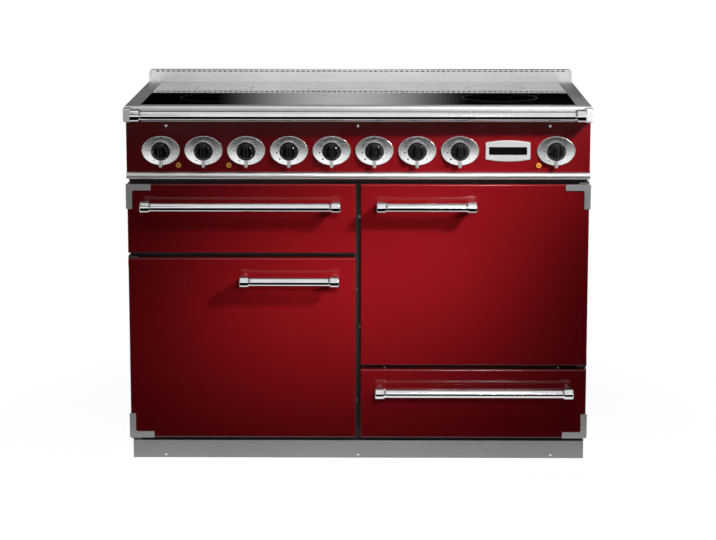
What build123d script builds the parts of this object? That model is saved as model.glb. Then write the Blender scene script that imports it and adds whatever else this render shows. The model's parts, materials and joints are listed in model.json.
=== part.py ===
"""A 110 cm induction range cooker: two side-hinged ovens, a glide-out grill and a storage drawer.

Millimetres. +Z is up, the front faces -Y, and the origin is on the floor under the middle of the cooker.
"""

import os

from build123d import *

# Overall size
hob_width = 1092.0
cabinet_depth = 600.0

# Stack of heights from the floor up
plinth_gap = 25.0
plinth_height = 44.0
plinth_clearance = 14.0
door_stack_height = 614.0
grill_front_height = 165.0
drawer_front_height = 168.0
left_row_gap = 12.0
right_row_gap = 10.0
trim_gap = 12.0
trim_height = 17.0
panel_height = 121.0
hob_frame_height = 36.0
upstand_height = 30.0

# Fronts
door_inset = 1.0
column_gap = 12.0
door_thickness = 38.0
door_gap = 4.0
door_edge_radius = 3.0
door_sheet = 1.5
liner_plug_depth = 3.0
liner_plug_margin = 8.0
liner_plug_edge = 2.4

# Cabinet sheet work
sheet = 1.2
side_inset = 2.0
side_sheet = 1.5
frame_thickness = 10.0
rear_recess = 30.0
divider_thickness = 2.0
tray_height = 22.0
plinth_setback = 30.0
plinth_inset = 3.0
plinth_edge = 0.8
oven_frame_margin = 50.0
grill_frame_margin = 22.0
drawer_frame_margin = 18.0

# Ovens
insulation_thickness = 40.0
wiring_space = 10.0
oven_depth = 410.0
rib_width = 9.0
rib_height = 4.0
rib_levels = 4
rib_pitch = 62.0
rib_end_gap = 20.0
rib_front_gap = 5.0
shelf_side_gap = 3.0
shelf_depth = 345.0
shelf_frame_diameter = 6.0
shelf_cross_diameter = 5.0
shelf_wire_diameter = 4.0
shelf_wires = 13
shelf_wire_pitch = 31.0
shelf_weld = 1.0
shelf_front_gap = 8.0
fan_cover_width = 300.0
fan_cover_height = 250.0
fan_cover_depth = 44.0
fan_cover_corner = 18.0
cover_hole = 8.0
cover_hole_rings = 3
cover_ring_pitch = 18.0
cover_holes_per_ring = 6
cover_slot = 16.0
cover_slot_length = 125.0
fan_diameter = 140.0
fan_blades = 8
fan_blade_height = 20.0
fan_wall_gap = 8.0
fan_hub_diameter = 22.0
fan_shaft_diameter = 6.0
shaft_hole_diameter = 12.0
ring_diameter = 190.0
ring_tube = 7.0
ring_leg_diameter = 10.0
ring_leg_spacing = 36.0
ring_wall_gap = 22.0
element_leg_reach = 25.0
motor_width = 70.0
motor_height = 60.0
motor_depth = 46.0
motor_corner = 6.0
seal_width = 10.0
seal_offset = 3.0

# Glide-out grill
grill_width = 460.0
grill_tube = 8.0
grill_runs = 6
grill_run_pitch = 62.0
grill_bend_radius = 26.0
grill_front_space = 40.0
grill_ceiling_gap = 12.0
grill_rail_height = 52.0
arm_sheet = 2.0
arm_height = 36.0
arm_length = 372.0
crossbar_size = 10.0
lip_width = 12.0
pan_depth = 34.0
pan_length = 320.0
pan_front_gap = 24.0
pan_sheet = 1.5
pan_corner = 5.0
pan_rim_gap = 1.0
pan_side_gap = 2.0
pan_rim_width = 4.0
trivet_wires = 11
trivet_wire_pitch = 32.0
trivet_lift = 12.0
trivet_margin = 12.0
trivet_bar_inset = 14.0
trivet_leg_inset = 42.0

# Storage drawer
drawer_opening_width = 470.0
drawer_side_gap = 5.0
drawer_box_depth = 400.0
drawer_box_height = 96.0
drawer_floor_gap = 8.0
drawer_rib_reach = 16.0

# Slide runners
runner_height = 20.0
runner_depth = 12.0
runner_sheet = 1.5
runner_length = 385.0
runner_start = 2.0
arm_gap = 1.5

# Door hinges
pin_inset = 12.0
pin_diameter = 8.0
pin_reach = 14.0
hinge_plate = 3.0
hinge_gap = 1.0
hinge_width = 24.0
hinge_nose = 9.0
boss_size = 22.0

# Corner plates on the fronts
corner_arm = 59.0
corner_width = 15.0
corner_thickness = 3.0
corner_overhang = 3.0
corner_fillet = 5.0
corner_bevel = 0.9
post_clearance = 0.5

# Bar handles
handle_standoff = 45.0
handle_bar = 21.0
handle_ferrule = 27.0
handle_ferrule_length = 21.0
handle_cone = 5.0
handle_end_edge = 2.5
handle_post = 18.0
handle_drop = 49.0
long_handle = 470.0
short_handle = 235.0
short_handle_margin = 38.0

# Hob
hob_overhang = 16.0
hob_sheet = 2.0
hob_edge_radius = 6.0
hob_corner = 1.5
hob_lip = 12.0
hob_front_lip = 30.0
hob_rear_lip = 40.0
hob_side_trim = 35.0
hob_front_trim = 33.0
hob_rear_trim = 3.0
glass_thickness = 4.0
glass_bevel = 0.8
glass_ledge = 10.0
coil_pan_depth = 55.0
upstand_depth = 20.0
upstand_corner = 8.0
vent_slots = 79
vent_pitch = 13.4
vent_length = 9.0
vent_height = 4.0
vent_lip = 1.6
zone_spacing = 340.0
zone_rows = 235.0
zone_front_diameter = 180.0
zone_rear_diameter = 145.0
zone_centre_diameter = 220.0
coil_height = 10.0
coil_air_gap = 6.0
coil_post = 60.0

# Handrail in front of the hob
rail_standoff = 44.0
rail_drop = 20.0
rail_bar = 22.5
rail_ferrule = 30.0
rail_ferrule_length = 20.0
rail_cone = 5.0
rail_block_width = 16.5
rail_block_top = 2.5
rail_block_nose = 12.0
rail_block_radius = 3.0

# Control panel
panel_inset = 1.0
panel_edge = 1.5
trim_nose = 9.0
trim_round = 7.6
knob_count = 8
knob_pitch = 100.4
first_knob_inset = 82.5
last_knob_inset = 81.0
knob_rise = 50.5
bezel_width = 89.5
bezel_height = 69.0
bezel_thickness = 3.6
bezel_rim = 1.4
bezel_dish = 1.6
bezel_edge = 0.8
knob_diameter = 45.0
knob_skirt = 7.0
knob_depth = 22.0
knob_cap = 28.0
grip_width = 9.0
grip_rise = 5.0
grip_edge = 2.0
lever_width = 8.0
lever_seat = 19.0
lever_reach = 39.0
lever_depth = 7.0
lever_lift = 5.0
lever_tip = 3.2
lever_edge = 1.2
spindle_diameter = 6.0
spindle_hole = 10.0
switch_size = 38.0
switch_depth = 30.0
switch_corner = 3.0
lens_diameter = 13.0
lens_height = 3.5
lens_edge = 1.6
lens_dimple = 5.0
lens_dimple_depth = 1.05
lens_stem = 8.0
lens_stem_length = 12.0
lens_offset_x = 41.0
lens_drop = 34.5
panel_screw_spacing = 450.0
panel_screw_drop = 12.0
plinth_screw_spacing = 464.0
plinth_screw_rise = 9.0
catch_screw_offset = 3.3
catch_screw_spread = 135.0
row_screw_near = 64.0
row_screw_far = 480.0
screw_head = 7.0
screw_head_height = 2.2
screw_head_edge = 0.9
screw_shank = 3.2
screw_length = 9.0

# Feet, rollers and mains inlet
foot_inset = 116.0
foot_setback = 95.0
foot_pad = 44.0
foot_pad_height = 8.0
foot_pad_edge = 2.0
foot_spindle = 12.0
foot_nut = 20.0
foot_nut_height = 8.0
foot_thread_above = 14.0
roller_inset = 116.0
roller_setback = 50.0
roller_diameter = 40.0
roller_width = 24.0
roller_axle = 8.0
roller_chamfer = 1.5
fork_plate = 3.0
fork_depth = 30.0
fork_below_axle = 9.0
inlet_inset = 166.0
inlet_z = 170.0
inlet_width = 130.0
inlet_height = 90.0
inlet_wall = 2.0
inlet_edge = 3.0
gland_diameter = 28.0
gland_bore = 20.0
gland_length = 18.0
louvre_length = 70.0
louvre_height = 6.0
louvre_columns = 4
louvre_rows = 6
louvre_pitch_x = 90.0
louvre_pitch_z = 16.0

# Clearances
seated = 0.25
running = 0.06
gap_fit = 0.4
seal_fit = 0.3
glass_fit = 0.3

# Planes across the depth
handle_projection = handle_standoff + handle_ferrule / 2
overall_depth = cabinet_depth + handle_projection
y_door = handle_projection - overall_depth / 2
y_door_back = y_door + door_thickness
y_frame = y_door_back + door_gap
y_frame_back = y_frame + frame_thickness
y_rear = overall_depth / 2
y_back_out = y_rear - rear_recess
y_back_in = y_back_out - sheet
y_oven_wall = y_frame_back + oven_depth
y_hob_front = y_door - hob_overhang
y_upstand = y_rear - upstand_depth
y_pin = y_door + pin_inset

# Levels
z_plinth_top = plinth_gap + plinth_height
z_base = z_plinth_top - tray_height
z_doors = z_plinth_top + plinth_clearance
z_doors_top = z_doors + door_stack_height
z_grill = z_doors_top - grill_front_height
z_left_door_top = z_grill - left_row_gap
z_drawer_top = z_doors + drawer_front_height
z_right_door = z_drawer_top + right_row_gap
z_trim = z_doors_top + trim_gap
z_panel = z_trim + trim_height
z_hob_frame = z_panel + panel_height
z_hob = z_hob_frame + hob_frame_height
z_top = z_hob + upstand_height
z_knob = z_panel + knob_rise
z_rail = z_hob - rail_drop
z_glass = z_hob - glass_thickness
z_pan = z_glass - coil_pan_depth

# Widths
half_hob = hob_width / 2
x_door_outer = half_hob - door_inset
door_width = x_door_outer - column_gap / 2
x_column = column_gap / 2 + door_width / 2
x_side_out = half_hob - side_inset
x_side_in = x_side_out - side_sheet
half_glass = half_hob - hob_side_trim
half_column = min(x_side_in - x_column, x_column - divider_thickness / 2)
half_oven = half_column - wiring_space - insulation_thickness - seated - sheet
half_grill = grill_width / 2
half_drawer_opening = drawer_opening_width / 2
half_drawer = half_drawer_opening - drawer_side_gap
foot_x = half_hob - foot_inset
roller_x = half_hob - roller_inset
inlet_x = half_hob - inlet_inset
knob_xs = [first_knob_inset - half_hob + knob_pitch * i for i in range(knob_count)]
knob_xs.append(half_hob - last_knob_inset)
lens_xs = [knob_xs[0] + lens_offset_x, knob_xs[2] - lens_offset_x, knob_xs[-1] - lens_offset_x]
z_lens = z_knob - lens_drop

# Compartments behind the fronts, as low and high limits
left_oven_z = (z_doors + oven_frame_margin, z_left_door_top - oven_frame_margin)
right_oven_z = (z_right_door + oven_frame_margin, z_doors_top - oven_frame_margin)
grill_z = (z_grill + grill_frame_margin, z_doors_top - grill_frame_margin)
drawer_z = (z_doors + drawer_frame_margin, z_drawer_top - drawer_frame_margin)
z_grill_rail = grill_z[0] + grill_rail_height
z_drawer_box = drawer_z[0] + drawer_floor_gap
z_drawer_rail = z_drawer_box + drawer_box_height / 2
rib_half = runner_height / 2 - runner_sheet - gap_fit


def block(x, y, z, mode=Mode.ADD):
    """Adds or cuts a box given by its low and high limits along each axis."""
    with Locations(((x[0] + x[1]) / 2, (y[0] + y[1]) / 2, (z[0] + z[1]) / 2)):
        Box(x[1] - x[0], y[1] - y[0], z[1] - z[0], mode=mode)


def rod(centre, length, diameter, along, mode=Mode.ADD):
    """Adds or cuts a cylinder lying along one of the three axes."""
    turn = {"x": (0, 90, 0), "y": (90, 0, 0), "z": (0, 0, 0)}[along]
    with Locations(centre):
        Cylinder(diameter / 2, length, rotation=turn, mode=mode)


def span(centre, half):
    """Low and high limits of a length given by its middle and half."""
    return (centre - half, centre + half)


def ordered(a, b):
    """Low and high limits from two ends in either order."""
    return (min(a, b), max(a, b))


def front_plane(y):
    """A plane facing the front, with its own axes along X and Z."""
    return Plane(origin=(0, y, 0), x_dir=(1, 0, 0), z_dir=(0, -1, 0))


def save(piece, name):
    """Labels a finished piece and writes it out."""
    piece.label = name
    export_step(piece, f"parts/{name}.step")


def save_group(pieces, name):
    """Writes solids that touch, but are not one, as one named piece."""
    save(Compound(children=pieces), name)


os.makedirs("parts", exist_ok=True)

# Floor of the cabinet, with the roller forks under its rear corners
y_foot = y_frame_back + foot_setback
y_roller = y_back_in - roller_setback
fork_offset = roller_width / 2 + gap_fit + fork_plate / 2
with BuildPart() as base_tray:
    block((-x_side_in, x_side_in), (y_frame_back, y_back_in), (z_base, z_plinth_top))
    block(
        (-x_side_in + sheet, x_side_in - sheet),
        (y_frame_back + sheet, y_back_in - sheet),
        (z_base + sheet, z_plinth_top),
        mode=Mode.SUBTRACT,
    )
    for side in (-1, 1):
        for face in (-1, 1):
            block(
                span(side * roller_x + face * fork_offset, fork_plate / 2),
                span(y_roller, fork_depth / 2),
                (roller_diameter / 2 - fork_below_axle, z_base),
            )
        rod(
            (side * roller_x, y_roller, roller_diameter / 2),
            2 * (fork_offset + fork_plate),
            roller_axle + 2 * running,
            "x",
            mode=Mode.SUBTRACT,
        )
        rod((side * foot_x, y_foot, z_base), 4 * sheet, foot_spindle + 2 * seated, "z", mode=Mode.SUBTRACT)
save(base_tray.part, "base_tray")

# Rear rollers, each turned with its own axle
for side, name in ((-1, "left_roller"), (1, "right_roller")):
    with BuildPart() as roller:
        centre = (side * roller_x, y_roller, roller_diameter / 2)
        rod(centre, roller_width, roller_diameter, "x")
        chamfer(roller.edges().filter_by(GeomType.CIRCLE), roller_chamfer)
        rod(centre, 2 * (fork_offset + fork_plate), roller_axle, "x")
    save(roller.part, name)

# Screw feet at the front, locked by a nut under the floor
with BuildPart() as levelling_feet:
    for side in (-1, 1):
        with BuildSketch(Plane.XY):
            with Locations((side * foot_x, y_foot)):
                Circle(foot_pad / 2)
    extrude(amount=foot_pad_height)
    fillet(levelling_feet.faces().filter_by(Plane.XY).group_by(Axis.Z)[-1].edges(), foot_pad_edge)
    for side in (-1, 1):
        spindle_top = z_base + sheet + foot_thread_above
        rod((side * foot_x, y_foot, spindle_top / 2), spindle_top, foot_spindle, "z")
    with BuildSketch(Plane.XY.offset(z_base - foot_nut_height)):
        for side in (-1, 1):
            with Locations((side * foot_x, y_foot)):
                RegularPolygon(foot_nut / 2, 6)
    extrude(amount=foot_nut_height)
save(levelling_feet.part, "levelling_feet")

# Side sheets
with BuildPart() as side_panels:
    for side in (-1, 1):
        block(ordered(side * x_side_in, side * x_side_out), (y_frame, y_back_out), (z_base, z_hob_frame))
save(side_panels.part, "side_panels")

# Rear sheet with louvres behind each oven and the cable hole behind the inlet
with BuildPart() as back_panel:
    block((-x_side_in, x_side_in), (y_back_in, y_back_out), (z_base, z_hob_frame))
    with BuildSketch(front_plane(y_back_out)):
        for x, limits in ((-x_column, left_oven_z), (x_column, right_oven_z)):
            with Locations((x, sum(limits) / 2)):
                with GridLocations(louvre_pitch_x, louvre_pitch_z, louvre_columns, louvre_rows):
                    SlotOverall(louvre_length, louvre_height)
    extrude(amount=sheet, mode=Mode.SUBTRACT)
    rod((inlet_x, y_back_out, inlet_z), 4 * sheet, gland_bore, "y", mode=Mode.SUBTRACT)
save(back_panel.part, "back_panel")

# Mains inlet box, with its cable gland pointing down
y_gland = (y_back_out + y_rear) / 2
z_inlet_bottom = inlet_z - inlet_height / 2
with BuildPart() as terminal_box:
    block(span(inlet_x, inlet_width / 2), (y_back_out, y_rear), span(inlet_z, inlet_height / 2))
    fillet(terminal_box.faces().sort_by(Axis.Y)[-1].edges(), inlet_edge)
    block(
        span(inlet_x, inlet_width / 2 - inlet_wall),
        (y_back_out, y_rear - inlet_wall),
        span(inlet_z, inlet_height / 2 - inlet_wall),
        mode=Mode.SUBTRACT,
    )
    gland_centre = (inlet_x, y_gland, z_inlet_bottom + (inlet_wall - gland_length) / 2)
    rod(gland_centre, gland_length + inlet_wall, gland_diameter, "z")
    rod(gland_centre, gland_length + 2 * inlet_wall, gland_bore, "z", mode=Mode.SUBTRACT)
save(terminal_box.part, "terminal_box")

# Upright sheet between the two columns
with BuildPart() as centre_divider:
    block(
        span(0, divider_thickness / 2),
        (y_frame_back + sheet, y_back_in - sheet),
        (z_base + sheet, z_pan),
    )
save(centre_divider.part, "centre_divider")

# Screws seen from the front: panel, plinth, and beside and below the doors
z_panel_screw = z_hob_frame - panel_screw_drop
z_plinth_screw = plinth_gap + plinth_screw_rise
z_row_screw = (z_drawer_top + z_right_door) / 2
y_plinth = y_door + plinth_setback
panel_screws = [(x, y_door, z_panel_screw) for x in (-panel_screw_spacing, 0, panel_screw_spacing)]
plinth_screws = [(x, y_plinth, z_plinth_screw) for x in (-plinth_screw_spacing, 0, plinth_screw_spacing)]
frame_screws = [(x, y_frame, z_row_screw) for x in (row_screw_near, row_screw_far)]
for side, limits in ((-1, left_oven_z), (1, right_oven_z)):
    for end in (-1, 1):
        frame_screws.append((side * catch_screw_offset, y_frame, sum(limits) / 2 + end * catch_screw_spread))
with BuildPart() as trim_screws:
    for x, y, z in panel_screws + plinth_screws + frame_screws:
        rod((x, y - screw_head_height / 2, z), screw_head_height, screw_head, "y")
    screw_faces = trim_screws.faces().filter_by(Axis.Y).filter_by(lambda face: face.normal_at().Y < 0)
    fillet(screw_faces.edges(), screw_head_edge)
    for x, y, z in panel_screws + plinth_screws + frame_screws:
        rod((x, y + screw_length / 2, z), screw_length, screw_shank, "y")
save(trim_screws.part, "trim_screws")


def screw_holes(places):
    """Cuts the clearance holes of a list of screws in the open part."""
    for x, y, z in places:
        rod((x, y + screw_length / 2, z), 2 * screw_length, screw_shank + 2 * seated, "y", mode=Mode.SUBTRACT)


# Frame round the four openings
y_frame_span = (y_frame, y_frame_back)
with BuildPart() as front_frame:
    block((-x_side_in, x_side_in), y_frame_span, (z_plinth_top, z_panel))
    block(span(-x_column, half_oven), y_frame_span, left_oven_z, mode=Mode.SUBTRACT)
    block(span(x_column, half_oven), y_frame_span, right_oven_z, mode=Mode.SUBTRACT)
    block(span(-x_column, half_grill), y_frame_span, grill_z, mode=Mode.SUBTRACT)
    block(span(x_column, half_drawer_opening), y_frame_span, drawer_z, mode=Mode.SUBTRACT)
    block(
        span(x_column, half_drawer + drawer_rib_reach + 2),
        y_frame_span,
        span(z_drawer_rail, runner_height / 2),
        mode=Mode.SUBTRACT,
    )
    screw_holes(frame_screws)
save(front_frame.part, "front_frame")


def oven_liner(x, limits):
    """An oven cavity open at the front, with ribs for the shelves and holes for fan and ring element."""
    z_middle = sum(limits) / 2
    with BuildPart() as liner:
        block(
            span(x, half_oven + sheet),
            (y_frame_back, y_oven_wall + sheet),
            (limits[0] - sheet, limits[1] + sheet),
        )
        block(span(x, half_oven), (y_frame_back, y_oven_wall), limits, mode=Mode.SUBTRACT)
        for side in (-1, 1):
            for level in range(1, rib_levels + 1):
                z_rib = limits[0] + level * rib_pitch
                block(
                    ordered(x + side * half_oven, x + side * (half_oven - rib_width)),
                    (y_frame_back + rib_front_gap, y_oven_wall - fan_cover_depth - rib_end_gap),
                    (z_rib - rib_height, z_rib),
                )
        rod((x, y_oven_wall, z_middle), 4 * sheet, shaft_hole_diameter, "y", mode=Mode.SUBTRACT)
        for leg in ring_legs(x, z_middle):
            rod(leg, 4 * sheet, ring_leg_diameter + 2 * seated, "y", mode=Mode.SUBTRACT)
    return liner.part


def ring_legs(x, z):
    """Where the two legs of a ring element pass the oven's rear wall."""
    half = ring_leg_spacing / 2
    drop = ((ring_diameter / 2) ** 2 - half**2) ** 0.5
    return [(x + side * half, y_oven_wall, z - drop) for side in (-1, 1)]


save(oven_liner(-x_column, left_oven_z), "left_oven_liner")
save(oven_liner(x_column, right_oven_z), "right_oven_liner")

# Mineral wool sleeves round the two ovens
with BuildPart() as oven_insulation:
    for x, limits in ((-x_column, left_oven_z), (x_column, right_oven_z)):
        inner = sheet + seated
        outer = inner + insulation_thickness
        y_sleeve = (y_frame_back, y_oven_wall + sheet)
        block(span(x, half_oven + outer), y_sleeve, (limits[0] - outer, limits[1] + outer))
        block(
            span(x, half_oven + inner),
            y_sleeve,
            (limits[0] - inner, limits[1] + inner),
            mode=Mode.SUBTRACT,
        )
save(oven_insulation.part, "oven_insulation")


def oven_fan(x, z):
    """Fan wheel with its shaft, which runs back into the motor."""
    y_plate = y_oven_wall - fan_wall_gap
    blade_length = (fan_diameter - fan_hub_diameter) / 2 - 6
    with BuildPart() as fan:
        rod((x, y_plate - sheet / 2, z), sheet, fan_diameter, "y")
        rod((x, y_plate - fan_blade_height / 2, z), fan_blade_height, fan_hub_diameter, "y")
        with BuildSketch(front_plane(y_plate)):
            with Locations((x, z)):
                with PolarLocations(fan_diameter / 2 - blade_length / 2 - 2, fan_blades):
                    Rectangle(blade_length, sheet)
        extrude(amount=fan_blade_height)
        shaft_length = fan_wall_gap + sheet + motor_depth
        rod((x, y_plate + shaft_length / 2, z), shaft_length, fan_shaft_diameter, "y")
    return fan.part


left_oven_middle = sum(left_oven_z) / 2
right_oven_middle = sum(right_oven_z) / 2
oven_axes = [(-x_column, left_oven_middle), (x_column, right_oven_middle)]
save(oven_fan(-x_column, left_oven_middle), "left_oven_fan")
save(oven_fan(x_column, right_oven_middle), "right_oven_fan")

# Motors on the outside of the ovens' rear walls
with BuildPart() as fan_motors:
    for x, z in oven_axes:
        block(
            span(x, motor_width / 2),
            (y_oven_wall + sheet, y_oven_wall + sheet + motor_depth),
            span(z, motor_height / 2),
        )
    fillet(fan_motors.edges().filter_by(Axis.Y), motor_corner)
    for x, z in oven_axes:
        rod(
            (x, y_oven_wall + sheet + motor_depth / 2, z),
            2 * motor_depth,
            fan_shaft_diameter + 2 * running,
            "y",
            mode=Mode.SUBTRACT,
        )
save(fan_motors.part, "fan_motors")

# Covers in front of the fans, slotted round the inlet and along the sides
with BuildPart() as fan_covers:
    for x, z in oven_axes:
        block(
            span(x, fan_cover_width / 2),
            (y_oven_wall - fan_cover_depth, y_oven_wall),
            span(z, fan_cover_height / 2),
        )
    fillet(fan_covers.edges().filter_by(Axis.Y), fan_cover_corner)
    fillet(fan_covers.faces().sort_by(Axis.Y)[:2].edges(), 2 * sheet)
    for x, z in oven_axes:
        with BuildSketch(front_plane(y_oven_wall)):
            with Locations((x, z)):
                RectangleRounded(
                    fan_cover_width - 2 * sheet,
                    fan_cover_height - 2 * sheet,
                    fan_cover_corner - sheet,
                )
        extrude(amount=fan_cover_depth - sheet, mode=Mode.SUBTRACT)
        with BuildSketch(front_plane(y_oven_wall - fan_cover_depth)):
            for ring in range(1, cover_hole_rings + 1):
                with Locations((x, z)):
                    with PolarLocations(ring * cover_ring_pitch, ring * cover_holes_per_ring):
                        Circle(cover_hole / 2)
        extrude(amount=-2 * sheet, mode=Mode.SUBTRACT)
        for side in (-1, 1):
            block(
                span(x + side * fan_cover_width / 2, 2 * sheet),
                span(y_oven_wall - fan_cover_depth / 2, cover_slot / 2),
                span(z, cover_slot_length / 2),
                mode=Mode.SUBTRACT,
            )
save(fan_covers.part, "fan_covers")


def ring_element(x, z):
    """Ring element round a fan, with two legs through the rear wall."""
    y_ring = y_oven_wall - ring_wall_gap
    with BuildPart() as ring:
        with Locations(Location((x, y_ring, z), (90, 0, 0))):
            Torus(ring_diameter / 2, ring_tube / 2)
        for leg_x, _, leg_z in ring_legs(x, z):
            y_leg = (y_ring - ring_leg_diameter / 2, y_oven_wall + sheet + element_leg_reach)
            rod((leg_x, sum(y_leg) / 2, leg_z), y_leg[1] - y_leg[0], ring_leg_diameter, "y")
    return ring.part


# Grill element: a bent tube under the ceiling, both ends through the rear wall
z_grill_element = grill_z[1] - grill_ceiling_gap - grill_tube / 2
grill_run_xs = [-x_column + grill_run_pitch * (i - (grill_runs - 1) / 2) for i in range(grill_runs)]
y_run_front = y_frame_back + grill_front_space
y_run_back = y_oven_wall - grill_front_space
y_run_end = y_oven_wall + sheet + element_leg_reach
run_points = [(grill_run_xs[0], y_run_end, z_grill_element)]
for i in range(grill_runs - 1):
    y_turn = y_run_front if i % 2 == 0 else y_run_back
    run_points += [(grill_run_xs[i], y_turn, z_grill_element), (grill_run_xs[i + 1], y_turn, z_grill_element)]
run_points.append((grill_run_xs[-1], y_run_end, z_grill_element))
with BuildPart() as grill_element:
    with BuildLine() as grill_path:
        FilletPolyline(*run_points, radius=grill_bend_radius)
    with BuildSketch(grill_path.line ^ 0):
        Circle(grill_tube / 2)
    sweep()
rings = [ring_element(x, z) for x, z in oven_axes]
save_group(rings + [grill_element.part], "heating_elements")

# Box round the grill
with BuildPart() as grill_chamber:
    block(
        span(-x_column, half_grill + sheet),
        (y_frame_back, y_oven_wall + sheet),
        (grill_z[0] - sheet, grill_z[1] + sheet),
    )
    block(span(-x_column, half_grill), (y_frame_back, y_oven_wall), grill_z, mode=Mode.SUBTRACT)
    for x in (grill_run_xs[0], grill_run_xs[-1]):
        rod((x, y_oven_wall, z_grill_element), 4 * sheet, grill_tube + 2 * seated, "y", mode=Mode.SUBTRACT)
save(grill_chamber.part, "grill_chamber")

# Four wire shelves, two in each oven, lying on the ribs
shelf_width = 2 * (half_oven - shelf_side_gap)
y_shelf = y_frame_back + shelf_front_gap + shelf_depth / 2
with BuildPart() as oven_shelves:
    for (x, _), limits in zip(oven_axes, (left_oven_z, right_oven_z)):
        for level in (1, 3):
            z_shelf = limits[0] + level * rib_pitch + shelf_frame_diameter / 2
            z_wire = z_shelf + (shelf_cross_diameter + shelf_wire_diameter) / 2 - shelf_weld
            for end in (-1, 1):
                rod(
                    (x + end * (shelf_width - shelf_frame_diameter) / 2, y_shelf, z_shelf),
                    shelf_depth,
                    shelf_frame_diameter,
                    "y",
                )
                rod(
                    (x, y_shelf + end * (shelf_depth - shelf_frame_diameter) / 2, z_shelf),
                    shelf_width - shelf_frame_diameter,
                    shelf_cross_diameter,
                    "x",
                )
            with Locations((x, y_shelf, z_wire)):
                with GridLocations(shelf_wire_pitch, 0, shelf_wires, 1):
                    Cylinder(shelf_wire_diameter / 2, shelf_depth, rotation=(90, 0, 0))
save(oven_shelves.part, "oven_shelves")


def runner(x_wall, x_open, z):
    """A fixed channel from a wall to its open side, for a sliding rib."""
    inward = 1 if x_open > x_wall else -1
    y_runner = (y_frame_back + runner_start, y_frame_back + runner_start + runner_length)
    block(ordered(x_wall, x_open), y_runner, span(z, runner_height / 2))
    block(
        ordered(x_wall + inward * runner_sheet, x_open),
        y_runner,
        span(z, runner_height / 2 - runner_sheet),
        mode=Mode.SUBTRACT,
    )


# Fixed runners: two in the grill chamber, two beside the drawer
with BuildPart() as slide_runners:
    for side in (-1, 1):
        x_wall = -x_column + side * half_grill
        runner(x_wall, x_wall - side * runner_depth, z_grill_rail)
    runner(divider_thickness / 2, x_column - half_drawer - arm_gap, z_drawer_rail)
    runner(x_side_in, x_column + half_drawer + arm_gap, z_drawer_rail)
save(slide_runners.part, "slide_runners")


def front_skin(x, limits, hinge_side=0):
    """A pressed front open at the back, with pin bosses where it is hinged."""
    with BuildPart() as skin:
        block(span(x, door_width / 2), (y_door, y_door_back), limits)
        fillet(skin.faces().sort_by(Axis.Y)[0].edges(), door_edge_radius)
        block(
            span(x, door_width / 2 - door_sheet),
            (y_door + door_sheet, y_door_back),
            (limits[0] + door_sheet, limits[1] - door_sheet),
            mode=Mode.SUBTRACT,
        )
        if hinge_side:
            x_pin = hinge_side * (x_door_outer - pin_inset)
            for end, inward in ((limits[0], 1), (limits[1], -1)):
                block(
                    ordered(hinge_side * x_door_outer, x_pin - hinge_side * boss_size / 2),
                    (y_pin - boss_size / 2, y_pin + boss_size / 2),
                    ordered(end, end + inward * boss_size),
                )
                rod(
                    (x_pin, y_pin, end),
                    2 * pin_reach + 2,
                    pin_diameter + 2 * running,
                    "z",
                    mode=Mode.SUBTRACT,
                )
    return skin.part


left_door_z = (z_doors, z_left_door_top)
right_door_z = (z_right_door, z_doors_top)
grill_front_z = (z_grill, z_doors_top)
drawer_front_z = (z_doors, z_drawer_top)
save(front_skin(-x_column, left_door_z, -1), "left_door_panel")
save(front_skin(x_column, right_door_z, 1), "right_door_panel")
save(front_skin(-x_column, grill_front_z), "grill_front")
save(front_skin(x_column, drawer_front_z), "drawer_front")


def back_plate(x, limits):
    """Adds the plate that closes the back of a front, lying inside its edges."""
    inside = door_sheet + seated
    block(
        span(x, door_width / 2 - inside),
        (y_door_back - door_sheet, y_door_back),
        (limits[0] + inside, limits[1] - inside),
    )


def door_liner(x, limits, oven_limits):
    """Inner sheet of an oven door, pressed out towards the oven inside the seal."""
    plug = (oven_limits[0] + liner_plug_margin, oven_limits[1] - liner_plug_margin)
    half_plug = half_oven - liner_plug_margin
    with BuildPart() as liner:
        back_plate(x, limits)
        block(span(x, half_plug), (y_door_back, y_door_back + liner_plug_depth), plug)
        fillet(liner.faces().sort_by(Axis.Y)[-1].edges(), liner_plug_edge)
        block(
            span(x, half_plug - liner_plug_depth),
            (y_door_back - door_sheet, y_door_back + liner_plug_depth - door_sheet),
            (plug[0] + liner_plug_depth, plug[1] - liner_plug_depth),
            mode=Mode.SUBTRACT,
        )
    return liner.part


save(door_liner(-x_column, left_door_z, left_oven_z), "left_door_liner")
save(door_liner(x_column, right_door_z, right_oven_z), "right_door_liner")

# Seals round the oven openings
with BuildPart() as door_seals:
    for (x, z), limits in zip(oven_axes, (left_oven_z, right_oven_z)):
        inner_width = 2 * (half_oven + seal_offset)
        inner_height = limits[1] - limits[0] + 2 * seal_offset
        with BuildSketch(front_plane(y_frame)):
            with Locations((x, z)):
                RectangleRounded(inner_width + 2 * seal_width, inner_height + 2 * seal_width, 2 * seal_width)
                RectangleRounded(inner_width, inner_height, seal_width, mode=Mode.SUBTRACT)
    extrude(amount=door_gap - seal_fit)
save(door_seals.part, "door_seals")

# Hinge brackets on the frame, each with the pin a door turns on
with BuildPart() as door_hinges:
    for side, limits in ((-1, left_door_z), (1, right_door_z)):
        x_pin = side * (x_door_outer - pin_inset)
        for end, outward in ((limits[0], -1), (limits[1], 1)):
            near = end + outward * hinge_gap
            far = near + outward * hinge_plate
            block(span(x_pin, hinge_width / 2), (y_pin - hinge_nose, y_frame), ordered(near, far))
            pin_end = end - outward * pin_reach
            rod((x_pin, y_pin, (pin_end + far) / 2), abs(far - pin_end), pin_diameter, "z")
save(door_hinges.part, "door_hinges")


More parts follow.
